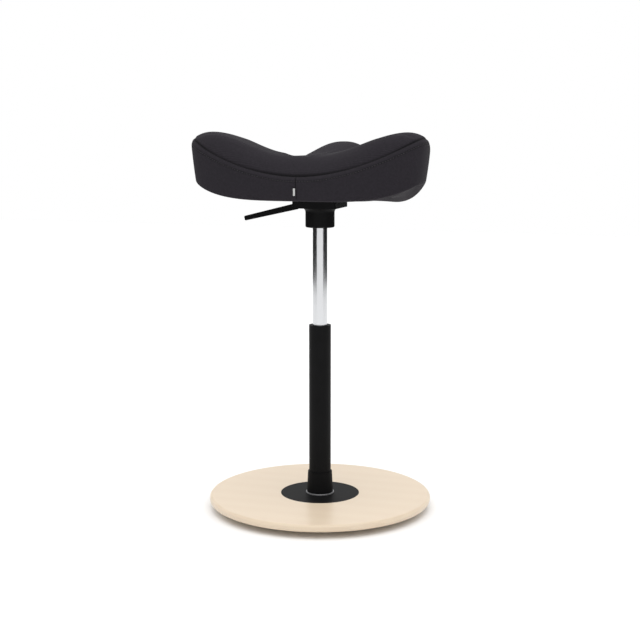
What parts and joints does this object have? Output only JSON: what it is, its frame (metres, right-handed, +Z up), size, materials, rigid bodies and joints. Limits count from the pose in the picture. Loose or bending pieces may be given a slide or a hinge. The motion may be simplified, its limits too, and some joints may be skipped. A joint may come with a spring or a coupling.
{
  "type": "perch stool",
  "caption": "Height-adjustable perch stool with a saddle-shaped upholstered seat, chrome gas-lift column in a black stand tube and a round pale wooden rocking foot.",
  "frame": {"origin": "on the floor at the middle of the round foot, on the column's axis", "axes": "+Z up along the column; the seat's rear edge, between the raised wings, faces -Y and its pommel faces +Y; the lever points to -X"},
  "size_m": [0.444, 0.426, 0.719],
  "materials": {
    "birch": "clear satin lacquer over pale veneer",
    "rocker_rubber": "matte",
    "black_steel": "fine satin powder coat",
    "plain_steel": "zinc plated",
    "chrome": "bright polished",
    "black_plastic": "fine matte texture",
    "bearing_steel": "ground",
    "bush_plastic": "smooth",
    "seal_rubber": "smooth",
    "seat_fabric": "close-woven charcoal upholstery",
    "foam": "moulded foam",
    "plywood": "raw plywood",
    "tag_fabric": "white woven tape"
  },
  "bodies": {
    "base": {"base_disc": "birch", "rocker_ring": "rocker_rubber", "base_flange": "black_steel", "under_plate": "plain_steel", "base_screws": "plain_steel", "stand_tube": "black_steel", "base_sleeve": "black_plastic", "trim_ring": "chrome", "guide_bush": "bush_plastic", "rod_seat": "plain_steel", "lower_race": "bearing_steel", "ball_cage": "bush_plastic", "bearing_balls": "bearing_steel"},
    "rod": {"piston_rod": "bearing_steel", "upper_race": "bearing_steel", "rod_clip": "plain_steel", "bump_stop": "seal_rubber", "piston": "bush_plastic", "piston_seal": "seal_rubber"},
    "seat": {"pressure_tube": "chrome", "rod_guide": "bush_plastic", "rod_seal": "seal_rubber", "valve_block": "plain_steel", "lift_housing": "black_steel", "mount_plate": "black_steel", "seat_screws": "plain_steel", "tee_nuts": "plain_steel", "pivot_pin": "plain_steel", "seat_cover": "seat_fabric", "seat_foam": "foam", "seat_board": "plywood", "dust_cover": "black_plastic", "seam_tag": "tag_fabric"},
    "lever": {"lever": "black_steel", "lever_grip": "black_plastic"},
    "release": {"release_pin": "plain_steel"}
  },
  "joints": [
    {"name": "seat_swivel", "type": "hinge", "parent": "base", "child": "rod", "pos_m": [0, 0, 0.03], "axis": [0, 0, 1], "continuous": true},
    {"name": "seat_height", "type": "slide", "parent": "rod", "child": "seat", "axis": [0, 0, 1], "range_m": [-0.125, 0.11]},
    {"name": "lever_lift", "type": "hinge", "parent": "seat", "child": "lever", "pos_m": [-0.031, 0, 0.583], "axis": [0, 1, 0], "range_deg": [0, 6], "stiffness_Nm_per_rad": 2, "springref_deg": -8.59},
    {"name": "release_press", "type": "slide", "parent": "seat", "child": "release", "axis": [0, 0, 1], "range_m": [-0.0036, 0]}
  ],
  "couplings": [
    {"joint": "release_press", "follows": "lever_lift", "m_per_rad": -0.0335}
  ]
}
